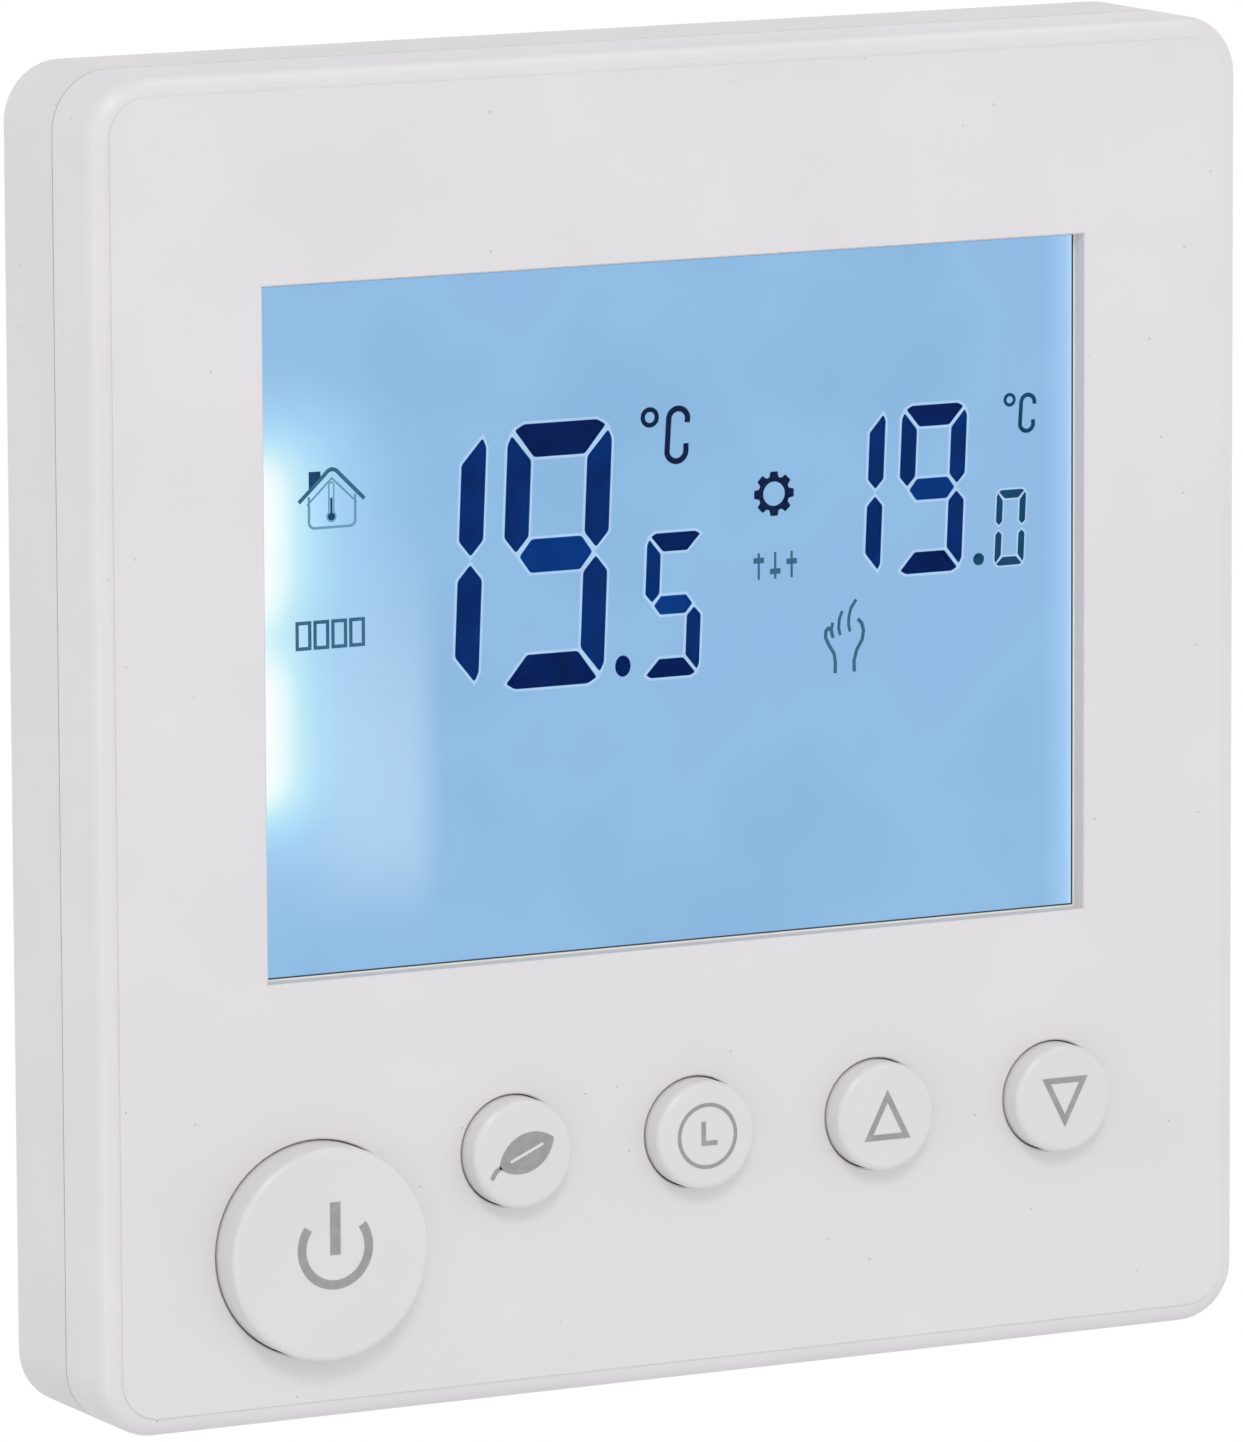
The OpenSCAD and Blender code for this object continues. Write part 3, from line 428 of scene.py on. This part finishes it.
def plates(outlines, front, back, rounding=0.0):
    """Flat plates with these outlines of (x, z) points in mm, between two depths in mm."""
    bm = bmesh.new()
    for outline in outlines:
        bm.faces.new([bm.verts.new((x * MM, front * MM, z * MM)) for x, z in outline])
    made = bmesh.ops.extrude_face_region(bm, geom=bm.faces[:])["geom"]
    bmesh.ops.translate(bm, vec=(0, (back - front) * MM, 0),
                        verts=[v for v in made if isinstance(v, bmesh.types.BMVert)])
    if rounding:
        upright = [e for e in bm.edges if abs(e.verts[0].co.y - e.verts[1].co.y) > 1e-6]
        bmesh.ops.bevel(bm, geom=upright, offset=rounding * MM, segments=3, profile=0.5,
                        affect="EDGES", material=-1, clamp_overlap=True)
    bmesh.ops.recalc_face_normals(bm, faces=bm.faces[:])
    return bm


def grown(outline, by):
    """An outline of (x, z) points in mm, moved outwards by this many mm."""
    points = [Vector(point) for point in outline]
    ring = list(zip(points, points[1:] + points[:1]))
    way = math.copysign(by, sum(a.x * b.y - b.x * a.y for a, b in ring))
    sides = [Vector((b.y - a.y, a.x - b.x)).normalized() for a, b in ring]
    return [point + (m + n) * way / (1 + m.dot(n))
            for point, m, n in zip(points, sides[-1:] + sides, sides)]


def strokes(name, lines, width, front, back, finish, body):
    """Lines of one width in mm. Each line is its (x, z) points in mm and whether it closes."""
    bm = bmesh.new()
    for points, closed in lines:
        spots = [bm.verts.new((x * MM, front * MM, z * MM)) for x, z in points]
        for a, b in zip(spots, spots[1:] + (spots[:1] if closed else [])):
            bm.edges.new((a, b))
    made = bmesh.ops.extrude_edge_only(bm, edges=bm.edges[:])["geom"]
    bmesh.ops.translate(bm, vec=(0, (back - front) * MM, 0),
                        verts=[v for v in made if isinstance(v, bmesh.types.BMVert)])
    bmesh.ops.recalc_face_normals(bm, faces=bm.faces[:])
    obj = piece(name, bm, finish, body)
    solid = obj.modifiers.new("line_width", "SOLIDIFY")
    solid.thickness = width * MM
    solid.offset = 0.0
    solid.use_even_offset = True
    return obj


def arc(x, z, radius, start, end, steps=24, tall=1.0):
    """Points on an arc round (x, z), angles in degrees, counted from +X towards +Z."""
    turns = [math.radians(start + (end - start) * i / steps) for i in range(steps + 1)]
    return [(x + radius * math.cos(t), z + radius * tall * math.sin(t)) for t in turns]


def circle(x, z, radius, steps=24, tall=1.0):
    """Points all round (x, z), without the first one again at the end."""
    return arc(x, z, radius, 0, 360, steps, tall)[:-1]


# ---------------------------------------------------------------- the display's picture

# the bars lie on the front of the display, behind the clear window, with a pale halo behind
# them; each pair is the front and the back depth in mm
film_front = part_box("front_polariser")[0].y / MM
BAR = (film_front - 0.03, film_front - 0.012)
HALO = (film_front - 0.011, film_front - 0.004)
LEAN = 0.045  # how far a digit leans to the right for each mm of its height
DIGIT_TALL = 17.7  # height in mm of the tall digits, whose corner cuts the others scale down


def digit_bars(bars, x, z, width, height, upright, flat, gap=0.2):
    """Outlines of one digit's bars. bars names them: A top, B and C right, D bottom, E and F
    left, G middle. upright and flat are the widths of the standing and lying bars."""
    a, b, k = width / 2, height / 2, height / DIGIT_TALL
    inner = a - upright
    top = [(-a + 1.17 * k, b), (-a + 0.5 * k, b - 0.38 * k), (-inner + gap, b - flat),
           (inner - gap, b - flat), (a - 0.5 * k, b - 0.38 * k), (a - 1.17 * k, b)]
    left = [(-a + 0.3 * k, b - 0.73 * k), (-inner, b - flat - gap), (-inner, flat / 2 + gap),
            (-a + upright / 2, 1.4 * gap), (-a, flat / 2 + gap), (-a, b - 1.35 * k)]
    tip, shoulder = a - upright / 2 - 0.27 * k, inner - 0.24 * k
    middle = [(-tip, 0), (-shoulder, flat / 2), (shoulder, flat / 2), (tip, 0),
              (shoulder, -flat / 2), (-shoulder, -flat / 2)]
    turned = {"A": (top, 1, 1), "D": (top, 1, -1), "F": (left, 1, 1), "B": (left, -1, 1),
              "E": (left, 1, -1), "C": (left, -1, -1), "G": (middle, 1, 1)}
    shapes = {}
    for bar in bars:
        outline, sx, sz = turned[bar]
        shapes[bar] = [(x + px * sx + LEAN * pz * sz, z + pz * sz) for px, pz in outline]
    return shapes


# each digit's bars, the X and Z of its middle, its width and height, the widths of its
# standing and lying bars, and the gap between bars, in mm
DIGITS = {
    "room_tens": ("BC", -17.61, 11.4, 7.78, DIGIT_TALL, 1.8, 2.25, 0.2),
    "room_ones": ("ABCDFG", -8.26, 11.4, 7.78, DIGIT_TALL, 1.8, 2.25, 0.2),
    "room_tenths": ("AFGCD", 0.51, 7.4, 4.24, 9.73, 1.05, 1.25, 0.17),
    "set_tens": ("BC", 13.98, 13.9, 5.0, 11.42, 1.18, 1.45, 0.18),
    "set_ones": ("ABCDFG", 20.24, 13.9, 5.0, 11.42, 1.18, 1.45, 0.18),
}
for name, (bars, x, z, width, height, upright, flat, gap) in DIGITS.items():
    shapes = digit_bars(bars, x, z, width, height, upright, flat, gap)
    lying = [shapes[b] for b in bars if b in "AD"]
    standing = [shapes[b] for b in bars if b in "BCEF"]
    round_off = 0.16 * height / DIGIT_TALL
    if lying:
        piece(name + "_end_bars", plates(lying, *BAR, rounding=round_off), bar_deep, "front_panel")
    piece(name + "_side_bars", plates(standing, *BAR, rounding=round_off), bar_blue, "front_panel")
    if "G" in bars:
        piece(name + "_middle_bar", plates([shapes["G"]], *BAR, rounding=round_off), bar_soft,
              "front_panel")
    halos = [grown(shape, 0.18) for shape in shapes.values()]
    piece(name + "_halo", plates(halos, *HALO), bar_halo, "front_panel")
zero = digit_bars("ABCDEF", 26.3, 10.84, 2.25, 5.15, 0.47, 0.58, 0.15)
piece("set_tenths_bars", plates(zero.values(), *BAR, rounding=0.05), sign_blue, "front_panel")
piece("set_tenths_halo", plates([grown(bar, 0.12) for bar in zero.values()], *HALO), bar_halo,
      "front_panel")
piece("room_decimal_point", plates([circle(-3.29, 3.52, 0.58, tall=1.24)], *BAR), bar_deep,
      "front_panel")
piece("set_decimal_point", plates([circle(23.85, 8.83, 0.42)], *BAR), sign_blue, "front_panel")

# degree signs and the letter of the unit
strokes("room_degree_sign", [(circle(-1.19, 20.1, 0.53), True)], 0.32, *BAR, sign_dark,
        "front_panel")
strokes("room_unit_sign", [([(1.62, 19.6)] + arc(0.95, 19.85, 0.72, 10, 170, 12)
                            + arc(0.8, 17.75, 0.72, 190, 350, 12) + [(1.53, 18.2)], False)],
        0.4, *BAR, sign_dark, "front_panel")
strokes("set_degree_sign", [(circle(26.25, 19.54, 0.36, 18), True)], 0.22, *BAR, sign_blue,
        "front_panel")
strokes("set_unit_sign", [([(28.16, 19.15)] + arc(27.66, 19.28, 0.52, 10, 170, 10)
                           + arc(27.56, 17.86, 0.52, 190, 350, 10) + [(28.06, 18.1)], False)],
        0.29, *BAR, sign_blue, "front_panel")

# gear: a ring with eight teeth
gear_x, gear_z = 8.17, 14.35
teeth = []
for i in range(8):
    t = math.radians(45 * i)
    out, along = Vector((math.cos(t), math.sin(t))), Vector((-math.sin(t), math.cos(t)))
    corners = [out * 1.05 - along * 0.36, out * 1.5 - along * 0.27,
               out * 1.5 + along * 0.27, out * 1.05 + along * 0.36]
    teeth.append([(gear_x + p.x, gear_z + p.y) for p in corners])
piece("gear_sign_teeth", plates(teeth, *BAR), sign_dark, "front_panel")
strokes("gear_sign_ring", [(circle(gear_x, gear_z, 1.0, 32), True)], 0.36, *BAR, sign_dark,
        "front_panel")

# house with a thermometer
strokes("house_sign_roof", [([(-27.2, 16.1), (-25.3, 17.85), (-25.05, 18.1), (-24.76, 18.2),
                              (-24.45, 18.1), (-24.2, 17.85), (-22.4, 16.1)], False)], 0.27,
        *BAR, sign_grey, "front_panel")
strokes("house_sign_eaves", [([(-26.6, 15.9), (-24.78, 17.6), (-22.95, 15.9)], False)], 0.13,
        *BAR, sign_pale, "front_panel")
piece("house_sign_chimney", plates([[(-26.46, 16.95), (-25.6, 17.7), (-25.6, 18.1),
                                     (-26.46, 18.1)]], *BAR), sign_blue, "front_panel")
strokes("house_sign_walls", [([(-26.46, 16.45)] + arc(-26.06, 14.75, 0.4, 180, 270, 6)
                              + arc(-23.48, 14.75, 0.4, 270, 360, 6) + [(-23.08, 16.45)], False)],
        0.17, *BAR, sign_pale, "front_panel")
strokes("house_sign_stem", [(arc(-24.82, 17.15, 0.18, 0, 180, 6) + [(-25.0, 15.35)]
                             + arc(-24.82, 15.05, 0.32, 140, 400, 14) + [(-24.64, 15.35)], True)],
        0.1, *BAR, sign_pale, "front_panel")
piece("house_sign_bulb", plates([circle(-24.82, 15.05, 0.26, 16)], *BAR), sign_blue, "front_panel")
piece("house_sign_column", plates([[(-24.9, 15.1), (-24.74, 15.1), (-24.74, 16.3),
                                    (-24.9, 16.3)]], *BAR), sign_blue, "front_panel")

# four small room squares and three small sliders stand where words would be
squares = [[(x, 6.4), (x + 0.92, 6.4), (x + 0.92, 8.1), (x, 8.1)]
           for x in (-27.4, -26.09, -24.78, -23.47)]
strokes("room_sign_squares", [(s, True) for s in squares], 0.24, *BAR, sign_grey, "front_panel")
strokes("set_sign_rails", [([(x, 8.6), (x, 10.4)], False) for x in (7.0, 8.25, 9.5)], 0.17, *BAR,
        sign_grey, "front_panel")
knobs = [[(x - 0.4, z - 0.19), (x + 0.4, z - 0.19), (x + 0.4, z + 0.19), (x - 0.4, z + 0.19)]
         for x, z in ((7.0, 9.9), (8.25, 9.1), (9.5, 9.7))]
piece("set_sign_knobs", plates(knobs, *BAR), sign_grey, "front_panel")

# open hand: two lines for the palm and thumb side, three for the fingers
strokes("hand_sign_palm", [
    ([(12.8, 1.85), (12.82, 2.6), (12.72, 3.2), (12.3, 3.85), (12.08, 4.3), (12.1, 4.75),
      (12.3, 4.95), (12.5, 4.8), (12.62, 4.35)], False),
    ([(14.27, 1.85), (14.25, 2.6), (14.45, 3.3), (14.88, 4.0), (14.98, 4.6), (14.85, 5.1),
      (14.55, 5.42)], False)], 0.25, *BAR, sign_grey, "front_panel")
strokes("hand_sign_fingers", [
    ([(12.62, 5.3), (12.52, 4.8), (12.66, 4.25)], False),
    ([(13.35, 6.05), (13.13, 5.5), (13.08, 4.9), (13.2, 4.4)], False),
    ([(14.42, 6.75), (14.02, 6.2), (13.86, 5.6), (13.84, 5.1), (13.94, 4.6)], False)], 0.22, *BAR,
    sign_grey, "front_panel")


# ---------------------------------------------------------------- a white bead and a painted shadow line round the window

def frame_line(inset):
    """A closed line round the opening, this many mm inside its edge."""
    x = half_w / MM - inset
    z0 = window_mid / MM - half_h / MM + inset
    z1 = window_mid / MM + half_h / MM - inset
    return [([(-x, z0), (x, z0), (x, z1), (-x, z1)], True)]


window_front = low.y / MM
# painted shadow: a dark line just inside the window's edge, where the display meets the recess wall
strokes("window_edge_shadow_line", frame_line(0.15), 0.1, window_front - 0.05, window_front - 0.005,
        painted_edge_shadow, "front_panel")
strokes("window_edge_bead", frame_line(0.05), 0.1, window_front - 0.07, window_front - 0.005,
        edge_white, "front_panel")


# ---------------------------------------------------------------- printing on the keys

def key_top(node):
    """A key's middle in X and Z, and the depths of the print on its top, in mm."""
    a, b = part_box(node)
    return (a.x + b.x) / 2 / MM, (a.z + b.z) / 2 / MM, (a.y / MM - 0.02, a.y / MM + 0.01)


x, z, ink = key_top("power_key")
x, z = x + 0.2, z + 0.43
strokes("power_sign_arc", [(arc(x, z, 2.45, 144, 396, 40), False)], 0.62, *ink, key_ink,
        "power_button")
strokes("power_sign_bar", [([(x, z - 0.43), (x, z + 3.1)], False)], 0.76, *ink, key_ink,
        "power_button")

x, z, ink = key_top("eco_key")
# a leaf: two arcs that meet in points, turned up to the right, with a pale vein and a stem
blade = arc(0, -1.25, 2.55, 150.6, 29.4, 14) + arc(0, 1.25, 2.55, 330.6, 209.4, 14)[1:-1]
lean = Matrix.Rotation(math.radians(24), 2)
leaf = [lean @ Vector(point) + Vector((x + 0.15, z + 0.1)) for point in blade]
piece("leaf_sign_blade", plates([leaf], *ink), key_ink, "eco_button")
vein = [lean @ Vector(point) + Vector((x + 0.15, z + 0.1)) for point in ((-1.3, 0), (1.35, 0))]
strokes("leaf_sign_vein", [(vein, False)], 0.2, ink[0] - 0.01, ink[1], key_white, "eco_button")
strokes("leaf_sign_stem", [([(x - 1.75, z - 0.72), (x - 2.15, z - 1.0), (x - 2.45, z - 1.5)],
                            False)], 0.32, *ink, key_ink, "eco_button")

x, z, ink = key_top("clock_key")
strokes("clock_sign_ring", [(circle(x, z, 2.12, 40), True)], 0.26, *ink, key_ink, "clock_button")
strokes("clock_sign_hands", [([(x - 0.29, z + 1.0), (x - 0.29, z - 0.5), (x + 0.75, z - 0.5)],
                              False)], 0.33, *ink, key_ink, "clock_button")

for node, body, way in (("up_key", "up_button", 1), ("down_key", "down_button", -1)):
    x, z, ink = key_top(node)
    strokes(body + "_sign", [([(x - 1.44, z - 1.33 * way), (x + 1.44, z - 1.33 * way),
                               (x, z + 1.47 * way)], True)], 0.4, *ink, key_ink, body)


# ---------------------------------------------------------------- details on the boards

def centres(node):
    """The middle in X and Z of each separate solid of a node, in mm."""
    bm = bmesh.new()
    bm.from_mesh(nodes[node].data)
    bmesh.ops.remove_doubles(bm, verts=bm.verts[:], dist=0.001 * MM)
    seen, found = set(), []
    for start in bm.verts:
        if start in seen:
            continue
        group, queue = [], [start]
        seen.add(start)
        while queue:
            vert = queue.pop()
            group.append(vert.co.copy())
            for link in vert.link_edges:
                other = link.other_vert(vert)
                if other not in seen:
                    seen.add(other)
                    queue.append(other)
        found.append([(min(c[k] for c in group) + max(c[k] for c in group)) / 2 / MM
                      for k in (0, 2)])
    bm.free()
    return found


SOLDER_SIDES = 14
# the flank of a solder joint: shares of its radius, and of its height above the board
SOLDER_FLANK = ((1.0, -0.02), (0.72, 0.22), (0.45, 0.6), (0.3, 0.9), (0.12, 1.0))


def solder_joints(name, spots, depth, radius, tall, body):
    """Solder joints: low cones with hollow flanks round a pin, standing off a board's back.
    depth is the board's back in mm, and tall is negative where the back faces -Y."""
    bm = bmesh.new()
    for x, z in spots:
        loops = [[bm.verts.new((px * MM, (depth + tall * rise) * MM, pz * MM))
                  for px, pz in circle(x, z, radius * share, SOLDER_SIDES)]
                 for share, rise in SOLDER_FLANK]
        for a, b in zip(loops, loops[1:]):
            for i in range(SOLDER_SIDES):
                bm.faces.new((a[i], a[i - 1], b[i - 1], b[i]))
        bm.faces.new(loops[0])
        bm.faces.new(loops[-1])
    bmesh.ops.recalc_face_normals(bm, faces=bm.faces[:])
    return piece(name, bm, solder, body)


display_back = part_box("display_board")[1].y / MM
power_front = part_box("power_board")[0].y / MM
pins = centres("lcd_pins")
top_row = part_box("lcd_pins")[1].z / MM - 0.1
solder_joints("display_pin_solder", [(x, top_row) for x, _ in pins], display_back, 0.72, 0.75,
              "front_panel")
tails = [(x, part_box("terminal_contacts")[1].z / MM - 0.3)
         for x, _ in centres("terminal_contacts")]
solder_joints("terminal_tail_solder", tails, power_front, 1.25, -1.1, "base")


# ---------------------------------------------------------------- floor, light, camera

def soft_light(name, place, size, power):
    """A rectangular lamp aimed at the origin: its place and size in metres, power in watts."""
    data = bpy.data.lights.new(name, "AREA")
    data.shape = "RECTANGLE"
    data.size, data.size_y = size
    data.energy = power
    obj = bpy.data.objects.new(name, data)
    bpy.context.scene.collection.objects.link(obj)
    obj.location = place
    obj.rotation_euler = (-Vector(place)).to_track_quat("-Z", "Y").to_euler()
    return obj


# pale matt studio floor, well below the thermostat because it hangs on a wall
floor_paint = blank("studio_floor_white", Base_Color=linear("F4F4F4"), Roughness=0.8)[0]
bm = bmesh.new()
bmesh.ops.create_circle(bm, cap_ends=True, segments=96, radius=3.2,
                        matrix=Matrix.Translation((0, 0, -0.9)))
floor_mesh = bpy.data.meshes.new("studio_floor")
bm.to_mesh(floor_mesh)
bm.free()
floor_mesh.materials.append(floor_paint)
floor = bpy.data.objects.new("studio_floor", floor_mesh)
bpy.context.scene.collection.objects.link(floor)

world = bpy.data.worlds.new("studio_air")
bpy.context.scene.world = world
world.use_nodes = True
air = world.node_tree
# white all round, and a little dimmer overhead
heading = add(air, "ShaderNodeSeparateXYZ",
              {"Vector": add(air, "ShaderNodeTexCoord").outputs["Generated"]})
fade = add(air, "ShaderNodeMapRange", {"Value": heading.outputs["Z"], "To Min": 1.0,
                                       "To Max": 0.68})
air.links.new(fade.outputs["Result"], air.nodes["Background"].inputs["Color"])
soft_light("key_softbox", (-0.45, -1.2, 0.9), (0.35, 0.35), 4.0)
# narrow strips that only show as sheen on the rounded edges
for name, place, size in (("left_strip", (-0.88, -0.45, -0.15), (0.1, 1.0)),
                          ("corner_strip", (-0.47, -0.43, 0.77), (0.3, 0.3)),
                          ("top_strip", (0.45, -0.15, 0.88), (1.0, 0.1))):
    soft_light(name, place, size, 1.3).visible_diffuse = False

camera_data = bpy.data.cameras.new("viewpoint")
camera = bpy.data.objects.new("viewpoint", camera_data)
bpy.context.scene.collection.objects.link(camera)
# the view from the front left and a little above; the camera's turn, rise and roll
turn, rise, roll = math.radians(-27.41), math.radians(8.88), math.radians(-0.26)
back = Vector((math.sin(turn) * math.cos(rise), -math.cos(turn) * math.cos(rise), math.sin(rise)))
side = Vector((0, 0, 1)).cross(back).normalized()
up = back.cross(side)
right = math.cos(roll) * side + math.sin(roll) * up
above = -math.sin(roll) * side + math.cos(roll) * up
spot = Vector((-0.00459, cad_box[0][1] + 0.0026, 0.00022)) + back * 0.81
camera.matrix_world = Matrix.Translation(spot) @ Matrix((right, above, back)).transposed().to_4x4()
camera_data.lens = 304.0
camera_data.sensor_width = 36.0
camera_data.sensor_fit = "AUTO"
camera_data.clip_start = 0.05
camera_data.clip_end = 40.0
bpy.context.scene.camera = camera
bpy.context.scene.view_settings.view_transform = "Standard"
